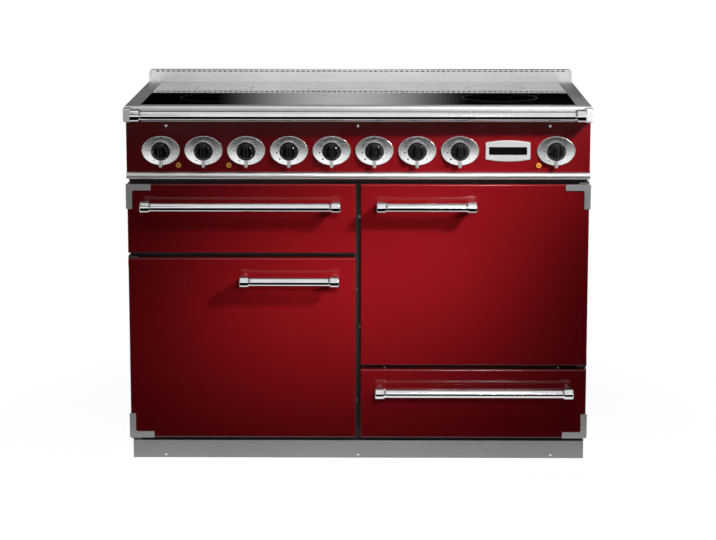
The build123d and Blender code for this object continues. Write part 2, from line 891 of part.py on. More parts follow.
# Handles by front: middle, top of the front, length
x_short = column_gap / 2 + short_handle_margin + short_handle / 2
handles = {
    "grill": (-x_column, z_doors_top, long_handle),
    "left_door": (-x_short, z_left_door_top, short_handle),
    "right_door": (x_short, z_doors_top, short_handle),
    "drawer": (x_column, z_drawer_top, long_handle),
}

# Plated corners by front: side, edge in height, way inward
corners = {
    "grill": (-1, z_doors_top, -1),
    "left_door": (-1, z_doors, 1),
    "right_door": (1, z_doors_top, -1),
    "drawer": (1, z_doors, 1),
}


def post_xs(x, length):
    """Where the two posts of a handle stand."""
    reach = (length - handle_ferrule_length) / 2
    return (x - reach, x + reach)


def corner_plate(side, z_edge, inward, handle):
    """L-shaped plate on the outer corner of a front, clear of the posts of its handle."""
    x_handle, z_front_top, length = handle
    x_edge = side * (x_door_outer + corner_overhang)
    long_arm = ordered(x_edge, x_edge - side * corner_arm)
    tall_arm = ordered(z_edge, z_edge + inward * corner_arm)
    y_plate = (y_door - corner_thickness, y_door)
    with BuildPart() as plate:
        block(long_arm, y_plate, ordered(z_edge, z_edge + inward * corner_width))
        block(ordered(x_edge, x_edge - side * corner_width), y_plate, tall_arm)
        inner = (x_edge - side * corner_width, y_door, z_edge + inward * corner_width)
        fillet(plate.edges().filter_by(Axis.Y).sort_by_distance(inner)[0], corner_fillet)
        chamfer(plate.faces().sort_by(Axis.Y)[0].edges(), corner_bevel)
        for x_post in post_xs(x_handle, length):
            rod(
                (x_post, y_door, z_front_top - handle_drop),
                4 * corner_thickness,
                handle_post + 2 * post_clearance,
                "y",
                mode=Mode.SUBTRACT,
            )
    return plate.part


for front, corner in corners.items():
    save(corner_plate(*corner, handles[front]), f"{front}_corner_plate")


def bar_handle(x, z_front_top, length):
    """A bar between two ferrules, each on a post from the front."""
    z = z_front_top - handle_drop
    y = y_door - handle_standoff
    half_bar = length / 2 - handle_ferrule_length - handle_cone
    with BuildPart() as bar:
        rod((x, y, z), 2 * half_bar, handle_bar, "x")
    ends = []
    for side, x_ferrule in zip((-1, 1), post_xs(x, length)):
        x_cone = x + side * (half_bar + handle_cone / 2)
        with BuildPart() as ferrule:
            rod((x_ferrule, y, z), handle_ferrule_length, handle_ferrule, "x")
            fillet(ferrule.faces().sort_by(Axis.X)[-1 if side > 0 else 0].edges(), handle_end_edge)
            with Locations((x_cone, y, z)):
                Cone(handle_ferrule / 2, handle_bar / 2, handle_cone, rotation=(0, -90 * side, 0))
            rod((x_ferrule, (y + y_door) / 2, z), handle_standoff, handle_post, "y")
        ends.append(ferrule.part)
    return [bar.part] + ends


for front, handle in handles.items():
    save_group(bar_handle(*handle), f"{front}_handle")

# Sliding frame of the grill: back plate, two ribbed arms, a rear bar and ledges for the pan
half_arm_out = half_grill - runner_depth - arm_gap
half_arm_in = half_arm_out - arm_sheet
y_arm_end = y_door_back + arm_length
z_arm = span(z_grill_rail, arm_height / 2)
z_ledge = z_grill_rail + arm_height / 2 - arm_sheet
y_pan = (y_frame_back + pan_front_gap, y_frame_back + pan_front_gap + pan_length)
with BuildPart() as grill_carriage:
    back_plate(-x_column, grill_front_z)
    for side in (-1, 1):
        block(
            ordered(-x_column + side * half_arm_in, -x_column + side * half_arm_out),
            (y_door_back - door_sheet, y_arm_end),
            z_arm,
        )
        block(
            ordered(
                -x_column + side * half_arm_out,
                -x_column + side * (half_grill - runner_sheet - gap_fit),
            ),
            (y_frame_back + runner_start, y_arm_end),
            span(z_grill_rail, rib_half),
        )
        block(
            ordered(-x_column + side * half_arm_in, -x_column + side * (half_arm_in - lip_width)),
            y_pan,
            (z_ledge - arm_sheet, z_ledge),
        )
    block(
        span(-x_column, half_arm_out),
        (y_arm_end - crossbar_size, y_arm_end),
        (z_arm[0], z_arm[0] + crossbar_size),
    )
save(grill_carriage.part, "grill_carriage")

# Grill pan hung on the ledges by its rim, with a wire trivet standing in it
half_pan_rim = half_arm_in - pan_rim_gap
half_pan = half_arm_in - lip_width - pan_side_gap
z_pan_floor = z_ledge - pan_depth
y_pan_body = (y_pan[0] + pan_rim_width, y_pan[1] - pan_rim_width)
with BuildPart() as grill_pan:
    block(span(-x_column, half_pan), y_pan_body, (z_pan_floor, z_ledge))
    fillet(grill_pan.edges().filter_by(Axis.Z), pan_corner)
    fillet(grill_pan.faces().sort_by(Axis.Z)[0].edges(), 2 * pan_sheet)
    block(span(-x_column, half_pan_rim), y_pan, (z_ledge, z_ledge + pan_sheet))
    with BuildSketch(Plane.XY.offset(z_pan_floor + pan_sheet)):
        with Locations((-x_column, sum(y_pan_body) / 2)):
            RectangleRounded(
                2 * (half_pan - pan_sheet),
                y_pan_body[1] - y_pan_body[0] - 2 * pan_sheet,
                pan_corner - pan_sheet,
            )
    extrude(amount=2 * pan_depth, mode=Mode.SUBTRACT)
half_trivet = half_pan - pan_sheet - trivet_margin
half_trivet_depth = (y_pan_body[1] - y_pan_body[0]) / 2 - pan_sheet - trivet_margin
y_trivet = sum(y_pan_body) / 2
z_trivet = z_pan_floor + pan_sheet + trivet_lift
with BuildPart() as trivet:
    for end in (-1, 1):
        x_side_bar = -x_column + end * half_trivet
        rod((x_side_bar, y_trivet, z_trivet), 2 * half_trivet_depth, shelf_cross_diameter, "y")
        y_bar = y_trivet + end * (half_trivet_depth - trivet_bar_inset)
        y_leg = y_trivet + end * (half_trivet_depth - trivet_leg_inset)
        rod((-x_column, y_bar, z_trivet), 2 * half_trivet, shelf_wire_diameter, "x")
        for side in (-1, 1):
            rod(
                (-x_column + side * half_trivet, y_leg, z_trivet - trivet_lift / 2),
                trivet_lift,
                shelf_wire_diameter,
                "z",
            )
    with Locations((-x_column, y_trivet, z_trivet + shelf_wire_diameter - shelf_weld)):
        with GridLocations(trivet_wire_pitch, 0, trivet_wires, 1):
            Cylinder(shelf_wire_diameter / 2, 2 * half_trivet_depth, rotation=(90, 0, 0))
save_group([grill_pan.part, trivet.part], "grill_pan")

# Storage drawer: an open box with sliding ribs, closed at the front by the back plate of its front
y_drawer_end = y_frame_back + drawer_box_depth
with BuildPart() as drawer_box:
    back_plate(x_column, drawer_front_z)
    block(
        span(x_column, half_drawer),
        (y_door_back - door_sheet, y_drawer_end),
        (z_drawer_box, z_drawer_box + drawer_box_height),
    )
    block(
        span(x_column, half_drawer - sheet),
        (y_door_back, y_drawer_end - sheet),
        (z_drawer_box + sheet, z_drawer_box + drawer_box_height),
        mode=Mode.SUBTRACT,
    )
    for side in (-1, 1):
        block(
            ordered(
                x_column + side * (half_drawer - sheet),
                x_column + side * (half_drawer + drawer_rib_reach),
            ),
            (y_frame_back + runner_start, y_drawer_end - sheet),
            span(z_drawer_rail, rib_half),
        )
save(drawer_box.part, "drawer_box")

# Steel kick strip under the doors
plinth_half = half_hob - plinth_inset
z_plinth = (plinth_gap, z_plinth_top)
with BuildPart() as plinth:
    block((-plinth_half, plinth_half), (y_plinth, y_plinth + side_sheet), z_plinth)
    block((-x_side_in, x_side_in), (y_plinth, y_frame_back), (z_plinth_top - side_sheet, z_plinth_top))
    for side in (-1, 1):
        block(
            ordered(side * (plinth_half - side_sheet), side * plinth_half),
            (y_plinth, y_frame),
            z_plinth,
        )
    fillet(plinth.edges().filter_by(Axis.X).sort_by(Axis.Y)[:2], plinth_edge)
    screw_holes(plinth_screws)
save(plinth.part, "plinth")

# Rounded strip under the control panel
with BuildPart() as control_trim:
    block((-x_door_outer, x_door_outer), (y_door - trim_nose, y_frame), (z_trim, z_panel))
    fillet(control_trim.edges().filter_by(Axis.X).sort_by(Axis.Y)[:2], trim_round)
    block(
        (-x_door_outer + side_sheet, x_door_outer - side_sheet),
        (y_door + side_sheet, y_frame),
        (z_trim + side_sheet, z_panel - side_sheet),
        mode=Mode.SUBTRACT,
    )
save(control_trim.part, "control_trim")

# Control panel: a pressed tray open at the back
half_panel = half_hob - panel_inset
with BuildPart() as control_panel:
    block((-half_panel, half_panel), (y_door, y_frame), (z_panel, z_hob_frame))
    fillet(control_panel.faces().sort_by(Axis.Y)[0].edges(), panel_edge)
    block(
        (-half_panel + side_sheet, half_panel - side_sheet),
        (y_door + side_sheet, y_frame),
        (z_panel + side_sheet, z_hob_frame - side_sheet),
        mode=Mode.SUBTRACT,
    )
    for x in knob_xs:
        rod((x, y_door, z_knob), 4 * side_sheet, spindle_hole, "y", mode=Mode.SUBTRACT)
    for x in lens_xs:
        rod((x, y_door, z_lens), 4 * side_sheet, lens_stem + 2 * seated, "y", mode=Mode.SUBTRACT)
    screw_holes(panel_screws)
save(control_panel.part, "control_panel")


def dial_bezel(x):
    """Oval dial plate, dished inside a narrow rim."""
    half_width = bezel_width / 2 - bezel_rim
    half_height = bezel_height / 2 - bezel_rim
    dish_radius = (half_height**2 + bezel_dish**2) / (2 * bezel_dish)
    with BuildPart() as dish:
        Sphere(dish_radius)
        scale(by=(half_width / half_height, 1, 1))
    with BuildPart() as bezel:
        with BuildSketch(front_plane(y_door)):
            with Locations((x, z_knob)):
                Ellipse(bezel_width / 2, bezel_height / 2)
        extrude(amount=bezel_thickness)
        fillet(bezel.edges().sort_by(Axis.Y)[0], bezel_edge)
        with Locations((x, y_door - bezel_thickness + bezel_dish - dish_radius, z_knob)):
            add(dish.part, mode=Mode.SUBTRACT)
        rod((x, y_door, z_knob), 4 * bezel_thickness, spindle_hole, "y", mode=Mode.SUBTRACT)
    return bezel.part


save_group([dial_bezel(x) for x in knob_xs], "dial_bezels")

# Switch bodies behind the panel
with BuildPart() as rotary_switches:
    y_switch = (y_door + side_sheet, y_door + side_sheet + switch_depth)
    for x in knob_xs:
        block(span(x, switch_size / 2), y_switch, span(z_knob, switch_size / 2))
    fillet(rotary_switches.edges().filter_by(Axis.Y), switch_corner)
    for x in knob_xs:
        rod(
            (x, y_switch[0], z_knob),
            4 * switch_depth,
            spindle_diameter + 2 * running,
            "y",
            mode=Mode.SUBTRACT,
        )
save(rotary_switches.part, "rotary_switches")


def knob(x):
    """A domed knob with its spindle, and the chrome lever let into its lower side."""
    y_back = y_door - bezel_thickness - gap_fit
    y_lever = (y_back - lever_lift - lever_depth, y_back - lever_lift)
    half_lever = lever_width / 2
    with BuildPart() as body:
        with BuildSketch(Plane((x, y_back, z_knob), x_dir=(1, 0, 0), z_dir=(0, 0, 1))):
            with BuildLine():
                skirt = Polyline((0, 0), (knob_diameter / 2, 0), (knob_diameter / 2, -knob_skirt))
                dome = TangentArc(skirt @ 1, (knob_cap / 2, -knob_depth), tangent=(0, -1))
                Polyline(dome @ 1, (0, -knob_depth), (0, 0))
            make_face()
        revolve(axis=Axis((x, y_back, z_knob), (0, 1, 0)))
        block(
            span(x, grip_width / 2),
            (y_back - knob_depth - grip_rise, y_back - knob_skirt),
            span(z_knob, knob_cap / 2),
        )
        fillet(body.faces().sort_by(Axis.Y)[0].edges(), grip_edge)
        block(
            span(x, half_lever + seated),
            (y_lever[0] - seated, y_lever[1] + seated),
            (z_knob - knob_diameter, z_knob - lever_seat),
            mode=Mode.SUBTRACT,
        )
        spindle_length = y_door + side_sheet + switch_depth - y_back
        rod((x, y_back + spindle_length / 2, z_knob), spindle_length, spindle_diameter, "y")
    with BuildPart() as lever:
        block(span(x, half_lever), y_lever, (z_knob - lever_reach, z_knob - lever_seat))
        fillet(lever.edges().filter_by(Axis.Y).sort_by(Axis.Z)[:2], lever_tip)
        fillet(lever.faces().sort_by(Axis.Y)[0].edges().filter_by(Axis.Z), lever_edge)
    return [body.part, lever.part]


for number, x in enumerate(knob_xs, start=1):
    save_group(knob(x), f"knob_{number}")

# Amber indicator lenses
with BuildPart() as indicator_lenses:
    for x in lens_xs:
        rod((x, y_door - lens_height / 2, z_lens), lens_height, lens_diameter, "y")
    front_faces = indicator_lenses.faces().filter_by(Axis.Y).group_by(Axis.Y)[0]
    fillet(front_faces.edges(), lens_edge)
    for x in lens_xs:
        rod((x, y_door - lens_height, z_lens), 2 * lens_dimple_depth, lens_dimple, "y", mode=Mode.SUBTRACT)
        rod((x, y_door + lens_stem_length / 2, z_lens), lens_stem_length, lens_stem, "y")
save(indicator_lenses.part, "indicator_lenses")

# Hob surround: a boxed rim with a ledge for the glass and a hanging tray for the induction modules
y_glass = (y_hob_front + hob_front_trim, y_upstand - hob_rear_trim)
y_coil_pan = (y_frame + 2 * hob_sheet, min(y_glass[1] - glass_ledge, y_back_in - wiring_space))
half_coil_pan = half_glass - glass_ledge
with BuildPart() as hotplate_frame:
    block((-half_hob, half_hob), (y_hob_front, y_rear), (z_hob_frame, z_hob))
    fillet(hotplate_frame.edges().filter_by(Axis.X).group_by(Axis.Y)[0].sort_by(Axis.Z)[-1], hob_edge_radius)
    fillet(hotplate_frame.edges().filter_by(Axis.Z).group_by(Axis.Y)[0], hob_corner)
    block(
        (-half_hob + hob_sheet, half_hob - hob_sheet),
        (y_hob_front + hob_sheet, y_rear - hob_sheet),
        (z_hob_frame + hob_sheet, z_hob - hob_sheet),
        mode=Mode.SUBTRACT,
    )
    block(
        (-half_hob + hob_lip, half_hob - hob_lip),
        (y_hob_front + hob_front_lip, y_rear - hob_rear_lip),
        (z_hob_frame, z_hob_frame + hob_sheet),
        mode=Mode.SUBTRACT,
    )
    ledge_margin = glass_fit + hob_sheet
    block(
        span(0, half_glass + ledge_margin),
        (y_glass[0] - ledge_margin, y_glass[1] + ledge_margin),
        (z_glass - hob_sheet, z_hob - hob_sheet),
    )
    block(
        span(0, half_coil_pan + hob_sheet),
        (y_coil_pan[0] - hob_sheet, y_coil_pan[1] + hob_sheet),
        (z_pan, z_glass),
    )
    block(
        span(0, half_coil_pan),
        y_coil_pan,
        (z_pan + hob_sheet, z_glass),
        mode=Mode.SUBTRACT,
    )
    block(
        span(0, half_glass + glass_fit),
        (y_glass[0] - glass_fit, y_glass[1] + glass_fit),
        (z_glass, z_hob),
        mode=Mode.SUBTRACT,
    )
save(hotplate_frame.part, "hotplate_frame")

# Glass plate, flush with the surround
with BuildPart() as hob_glass:
    block((-half_glass, half_glass), y_glass, (z_glass, z_hob))
    chamfer(hob_glass.faces().sort_by(Axis.Z)[-1].edges(), glass_bevel)
save(hob_glass.part, "hob_glass")

# Coils on their carriers under the five cooking zones
y_zones = sum(y_coil_pan) / 2
zones = [(0, y_zones, zone_centre_diameter)]
for side in (-1, 1):
    zones.append((side * zone_spacing, y_zones - zone_rows / 2, zone_front_diameter))
    zones.append((side * zone_spacing, y_zones + zone_rows / 2, zone_rear_diameter))
z_coil_top = z_glass - coil_air_gap
with BuildPart() as induction_modules:
    for x, y, diameter in zones:
        rod((x, y, z_coil_top - coil_height / 2), coil_height, diameter, "z")
        post = (z_pan + hob_sheet, z_coil_top - coil_height / 2)
        rod((x, y, sum(post) / 2), post[1] - post[0], coil_post, "z")
save(induction_modules.part, "induction_modules")

# Rear upstand, slotted along its top edge
with BuildPart() as upstand:
    block((-half_hob, half_hob), (y_upstand, y_rear), (z_hob, z_top))
    fillet(upstand.edges().filter_by(Axis.Y).group_by(Axis.Z)[-1], upstand_corner)
    with BuildSketch(front_plane(y_rear - sheet)):
        with Locations((0, (z_hob + z_top - sheet) / 2)):
            Rectangle(2 * (half_hob - upstand_corner), upstand_height - sheet)
    extrude(amount=upstand_depth - 2 * sheet, mode=Mode.SUBTRACT)
    with BuildSketch(front_plane(y_upstand)):
        with Locations((0, z_top - vent_lip - vent_height / 2)):
            with GridLocations(vent_pitch, 0, vent_slots, 1):
                Rectangle(vent_length, vent_height)
    extrude(amount=-2 * sheet, mode=Mode.SUBTRACT)
save(upstand.part, "upstand")

# Handrail: a bar between ferrules on two end blocks
y_rail = y_door - rail_standoff
half_rail = half_hob - rail_block_width - rail_ferrule_length - rail_cone
with BuildPart() as rail_bar_part:
    rod((0, y_rail, z_rail), 2 * half_rail, rail_bar, "x")
rail_ends = []
for side in (-1, 1):
    x_block = (side * (half_hob - rail_block_width), side * half_hob)
    x_ferrule = side * (half_rail + rail_cone + rail_ferrule_length / 2)
    with BuildPart() as rail_end:
        block(
            ordered(*x_block),
            (y_rail - rail_block_nose, y_hob_front),
            (z_hob_frame + rail_block_top, z_hob - rail_block_top),
        )
        fillet(rail_end.faces().sort_by(Axis.Y)[0].edges(), rail_block_radius)
        rod((x_ferrule, y_rail, z_rail), rail_ferrule_length, rail_ferrule, "x")
        with Locations((side * (half_rail + rail_cone / 2), y_rail, z_rail)):
            Cone(rail_ferrule / 2, rail_bar / 2, rail_cone, rotation=(0, -90 * side, 0))
    rail_ends.append(rail_end.part)
save_group([rail_bar_part.part] + rail_ends, "handrail")
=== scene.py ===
"""Looks of the induction range cooker: finishes, printed marks, badge plate, studio and camera."""

import json
import math

import bmesh
import bpy
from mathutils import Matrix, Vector
from mathutils.bvhtree import BVHTree


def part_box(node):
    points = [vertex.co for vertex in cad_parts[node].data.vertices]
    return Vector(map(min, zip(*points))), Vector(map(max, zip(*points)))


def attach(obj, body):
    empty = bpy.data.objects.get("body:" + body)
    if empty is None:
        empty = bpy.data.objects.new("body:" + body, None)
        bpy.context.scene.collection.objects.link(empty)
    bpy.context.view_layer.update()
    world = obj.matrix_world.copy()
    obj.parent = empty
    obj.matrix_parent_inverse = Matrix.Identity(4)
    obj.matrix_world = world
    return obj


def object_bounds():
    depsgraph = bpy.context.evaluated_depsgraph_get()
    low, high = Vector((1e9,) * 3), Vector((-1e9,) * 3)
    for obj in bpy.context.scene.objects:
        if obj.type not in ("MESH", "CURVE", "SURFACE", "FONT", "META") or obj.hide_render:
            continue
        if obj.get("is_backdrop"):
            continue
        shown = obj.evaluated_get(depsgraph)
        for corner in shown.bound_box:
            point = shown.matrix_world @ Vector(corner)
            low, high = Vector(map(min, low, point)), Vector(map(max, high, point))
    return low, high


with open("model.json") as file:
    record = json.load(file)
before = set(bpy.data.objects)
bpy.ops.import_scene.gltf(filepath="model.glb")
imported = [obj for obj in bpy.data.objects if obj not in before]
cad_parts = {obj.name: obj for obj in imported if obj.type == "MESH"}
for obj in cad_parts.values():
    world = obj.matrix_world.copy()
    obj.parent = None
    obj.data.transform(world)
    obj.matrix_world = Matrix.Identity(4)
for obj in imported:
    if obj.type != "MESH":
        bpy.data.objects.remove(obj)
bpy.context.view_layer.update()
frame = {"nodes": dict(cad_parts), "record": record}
nodes = frame["nodes"]


# Finishes


class Finish:
    """One procedural material, built from textures in the object's own coordinates."""

    def __init__(self, name, sockets):
        self.material = bpy.data.materials.new(name)
        self.material.use_nodes = True
        self.tree = self.material.node_tree
        self.surface = self.tree.nodes["Principled BSDF"]
        for socket, value in sockets.items():
            self.surface.inputs[socket].default_value = value
        self.where = self.add("ShaderNodeTexCoord").outputs["Object"]

    def add(self, kind, **settings):
        """A new node with its settings."""
        node = self.tree.nodes.new(kind)
        for setting, value in settings.items():
            setattr(node, setting, value)
        return node

    def join(self, output, socket):
        """Feeds an output into a socket of the surface shader, or into any other socket."""
        self.tree.links.new(output, self.surface.inputs[socket] if isinstance(socket, str) else socket)

    def stretched(self, stretch):
        """Object coordinates scaled along each axis."""
        mapping = self.add("ShaderNodeMapping")
        self.join(self.where, mapping.inputs["Vector"])
        mapping.inputs["Scale"].default_value = stretch
        return mapping.outputs["Vector"]

    def coordinates(self):
        """The three object coordinates, as outputs named X, Y and Z."""
        parts = self.add("ShaderNodeSeparateXYZ")
        self.join(self.where, parts.inputs["Vector"])
        return parts.outputs

    def noise(self, scale, stretch=(1, 1, 1), detail=3):
        """Cloudy noise, its grain stretched by smaller factors."""
        texture = self.add("ShaderNodeTexNoise")
        self.join(self.stretched(stretch), texture.inputs["Vector"])
        texture.inputs["Scale"].default_value = scale
        texture.inputs["Detail"].default_value = detail
        return texture.outputs["Fac"]

    def cells(self, scale, feature="F1", output="Distance"):
        """Cell pattern, for spangle and flecks."""
        texture = self.add("ShaderNodeTexVoronoi", feature=feature)
        self.join(self.where, texture.inputs["Vector"])
        texture.inputs["Scale"].default_value = scale
        return texture.outputs[output]

    def between(self, factor, low, high, start=0.3, end=0.7):
        """A number that runs from low to high as the factor goes from start to end."""
        node = self.add("ShaderNodeMapRange")
        self.join(factor, node.inputs["Value"])
        node.inputs["From Min"].default_value = start
        node.inputs["From Max"].default_value = end
        node.inputs["To Min"].default_value = low
        node.inputs["To Max"].default_value = high
        return node.outputs["Result"]

    def blend(self, factor, low, high):
        """A colour that runs from low to high with a factor from 0 to 1."""
        node = self.add("ShaderNodeMix", data_type="RGBA")
        self.join(factor, node.inputs["Factor"])
        for socket, colour in (("A", low), ("B", high)):
            target = [s for s in node.inputs if s.name == socket and s.type == "RGBA"][0]
            if isinstance(colour, tuple):
                target.default_value = (*colour, 1)
            else:
                self.join(colour, target)
        return [s for s in node.outputs if s.type == "RGBA"][0]

    def maths(self, operation, a, b):
        """Two numbers put together by one operation; either may be an output."""
        node = self.add("ShaderNodeMath", operation=operation)
        for socket, value in zip(node.inputs, (a, b)):
            if isinstance(value, (int, float)):
                socket.default_value = value
            else:
                self.join(value, socket)
        return node.outputs[0]

    def relief(self, height, depth, strength=1.0):
        """Fine relief of the surface, with its depth in metres."""
        bump = self.add("ShaderNodeBump")
        bump.inputs["Strength"].default_value = strength
        bump.inputs["Distance"].default_value = depth
        self.join(height, bump.inputs["Height"])
        self.join(bump.outputs["Normal"], "Normal")


def red_enamel():
    finish = Finish("red_enamel", {"Specular IOR Level": 0.3, "Coat Weight": 0.25, "Coat Roughness": 0.06})
    tone = finish.between(finish.noise(2.2), 0, 1)
    finish.join(finish.blend(tone, (0.21, 0.005, 0.008), (0.24, 0.006, 0.010)), "Base Color")
    finish.join(finish.between(finish.noise(24), 0.08, 0.12), "Roughness")
    finish.relief(finish.noise(420, detail=1), 0.00002, 0.25)
    return finish.material


# Brushed grain, drawn out along X
grain_stretch = (0.012, 1, 1)


def brushed_steel(name, dark, light, smooth, rough):
    """Steel with a grain that runs along X, between two tones and two roughnesses."""
    finish = Finish(name, {"Metallic": 1.0})
    grain = finish.noise(1500, grain_stretch, detail=2)
    wear = finish.noise(7)
    finish.join(finish.blend(finish.between(grain, 0, 1), (dark,) * 3, (light,) * 3), "Base Color")
    finish.join(finish.between(finish.maths("MULTIPLY", grain, wear), smooth, rough, 0.1, 0.45), "Roughness")
    finish.relief(grain, 0.00002, 0.35)
    return finish.material


def bright_plate(name, colour, smooth, rough):
    """Chrome or nickel plate with faint smudges."""
    finish = Finish(name, {"Metallic": 1.0})
    smudge = finish.noise(18, detail=5)
    smudged = tuple(0.94 * channel for channel in colour)
    finish.join(finish.blend(finish.between(smudge, 0, 1), smudged, colour), "Base Color")
    finish.join(finish.between(smudge, smooth, rough), "Roughness")
    finish.relief(finish.noise(160, detail=1), 0.00001, 0.03)
    return finish.material


# Width of the blocks at the ends of the rail
rail_block_width = 0.0166


def rail_chrome(high):
    """Chrome bar between satin end blocks, which are found by their place."""
    finish = Finish("rail_chrome", {"Metallic": 1.0})
    from_middle = finish.maths("ABSOLUTE", finish.coordinates()["X"], 0.0)
    block = finish.maths("GREATER_THAN", from_middle, high.x - rail_block_width)
    smudge = finish.noise(18, detail=5)
    plated = finish.blend(finish.between(smudge, 0, 1), (0.67, 0.67, 0.68), (0.73, 0.73, 0.74))
    finish.join(finish.blend(block, plated, (0.95, 0.95, 0.95)), "Base Color")
    satin = finish.maths("MULTIPLY", block, 0.50)
    finish.join(finish.maths("ADD", finish.between(smudge, 0.05, 0.10), satin), "Roughness")
    finish.relief(finish.noise(160, detail=1), 0.00001, 0.03)
    return finish.material


def black_glass():
    finish = Finish("black_glass", {"Specular IOR Level": 0.5})
    smear = finish.noise(5, detail=6)
    tone = finish.between(smear, 0, 1)
    finish.join(finish.blend(tone, (0.004, 0.004, 0.0045), (0.007, 0.007, 0.008)), "Base Color")
    finish.join(finish.between(smear, 0.012, 0.03), "Roughness")
    return finish.material


# The chromed lever of a knob: the middle of its box from the knob's low corner, and half its sides
lever_back = 0.0185
lever_up = 0.010
lever_halves = (0.0041, 0.0036, 0.0101)


def knob_black(low, high):
    """Black knob whose lever, found by its place on the knob, is chromed."""
    finish = Finish("knob_black", {"Specular IOR Level": 0.5})
    where = finish.coordinates()
    middle = ((low.x + high.x) / 2, low.y + lever_back, low.z + lever_up)
    lever = 1.0
    for axis, centre, half in zip("XYZ", middle, lever_halves):
        inside = finish.add("ShaderNodeMath", operation="COMPARE")
        finish.join(where[axis], inside.inputs[0])
        inside.inputs[1].default_value = centre
        inside.inputs[2].default_value = half
        lever = finish.maths("MULTIPLY", inside.outputs[0], lever)
    speck = finish.between(finish.noise(300), 0, 1)
    plastic = finish.blend(speck, (0.006, 0.006, 0.007), (0.012, 0.012, 0.013))
    finish.join(finish.blend(lever, plastic, (0.8, 0.8, 0.81)), "Base Color")
    finish.join(lever, "Metallic")
    satin = finish.maths("MULTIPLY", lever, 0.30)
    finish.join(finish.maths("ADD", finish.between(finish.noise(60), 0.03, 0.06), satin), "Roughness")
    finish.relief(finish.noise(700, detail=1), 0.00001, 0.15)
    return finish.material


# How far behind the face of a lens a painted shade starts to darken its colour, and where that painted shade
# is darkest
lens_shade_start_depth = 0.0001
lens_full_shade_depth = 0.0010


def amber(low):
    """Amber moulding with a painted shade: darker in its dimple and towards its rim, where the face lies
    further back.
    """
    finish = Finish("amber", {"Coat Weight": 0.6, "Coat Roughness": 0.05, "Subsurface Weight": 0.1,
                              "Subsurface Scale": 0.001, "Emission Strength": 0.12})
    back = finish.coordinates()["Y"]
    # Painted shade: the colour darkens where the face lies further back, in the dimple and towards the rim
    depth = finish.between(back, 0, 1, low.y + lens_shade_start_depth, low.y + lens_full_shade_depth)
    cloud = finish.between(finish.noise(500), 0, 1)
    bright = finish.blend(cloud, (0.80, 0.28, 0.03), (0.95, 0.42, 0.07))
    colour = finish.blend(depth, bright, (0.36, 0.075, 0.006))
    finish.join(colour, "Base Color")
    finish.join(colour, "Emission Color")
    finish.join(finish.between(finish.noise(200), 0.12, 0.25), "Roughness")
    return finish.material


def oven_enamel():
    """Dark vitreous enamel with pale flecks."""
    finish = Finish("oven_enamel", {"Specular IOR Level": 0.5})
    fleck = finish.between(finish.cells(420), 1, 0, 0.1, 0.16)
    base = finish.blend(finish.between(finish.noise(6), 0, 1), (0.018, 0.019, 0.022), (0.03, 0.031, 0.035))
    finish.join(finish.blend(fleck, base, (0.30, 0.31, 0.33)), "Base Color")
    finish.join(finish.between(finish.noise(40), 0.16, 0.3), "Roughness")
    finish.relief(finish.noise(260, detail=1), 0.00004, 0.3)
    return finish.material


def painted(name, dark, light, smooth, rough, grain):
    """Paint, moulding or rubber with a fine grain."""
    finish = Finish(name, {"Specular IOR Level": 0.4})
    speck = finish.noise(grain)
    finish.join(finish.blend(finish.between(speck, 0, 1), dark, light), "Base Color")
    finish.join(finish.between(finish.noise(grain / 8), smooth, rough), "Roughness")
    finish.relief(speck, 0.00008, 0.4)
    return finish.material


def galvanised():
    """Zinc spangle."""
    finish = Finish("galvanised", {"Metallic": 1.0})
    spangle = finish.cells(110, output="Color")
    tone = finish.maths("MULTIPLY", spangle, 1.0)
    finish.join(finish.blend(tone, (0.36, 0.37, 0.385), (0.52, 0.53, 0.54)), "Base Color")
    finish.join(finish.between(tone, 0.34, 0.52, 0, 1), "Roughness")
    finish.relief(finish.noise(300), 0.00003, 0.2)
    return finish.material


def wool():
    finish = Finish("wool", {"Roughness": 0.95})
    fibre = finish.noise(240, (1, 0.15, 0.4), detail=6)
    tone = finish.between(fibre, 0, 1)
    finish.join(finish.blend(tone, (0.36, 0.29, 0.14), (0.62, 0.54, 0.34)), "Base Color")
    finish.relief(fibre, 0.002, 0.8)
    return finish.material


def wound_copper():
    finish = Finish("copper", {"Metallic": 1.0})
    turns = finish.noise(900, (1, 1, 0.2))
    tone = finish.between(turns, 0, 1)
    finish.join(finish.blend(tone, (0.42, 0.17, 0.07), (0.72, 0.36, 0.18)), "Base Color")
    finish.join(finish.between(turns, 0.25, 0.45), "Roughness")
    finish.relief(turns, 0.0002, 0.6)
    return finish.material


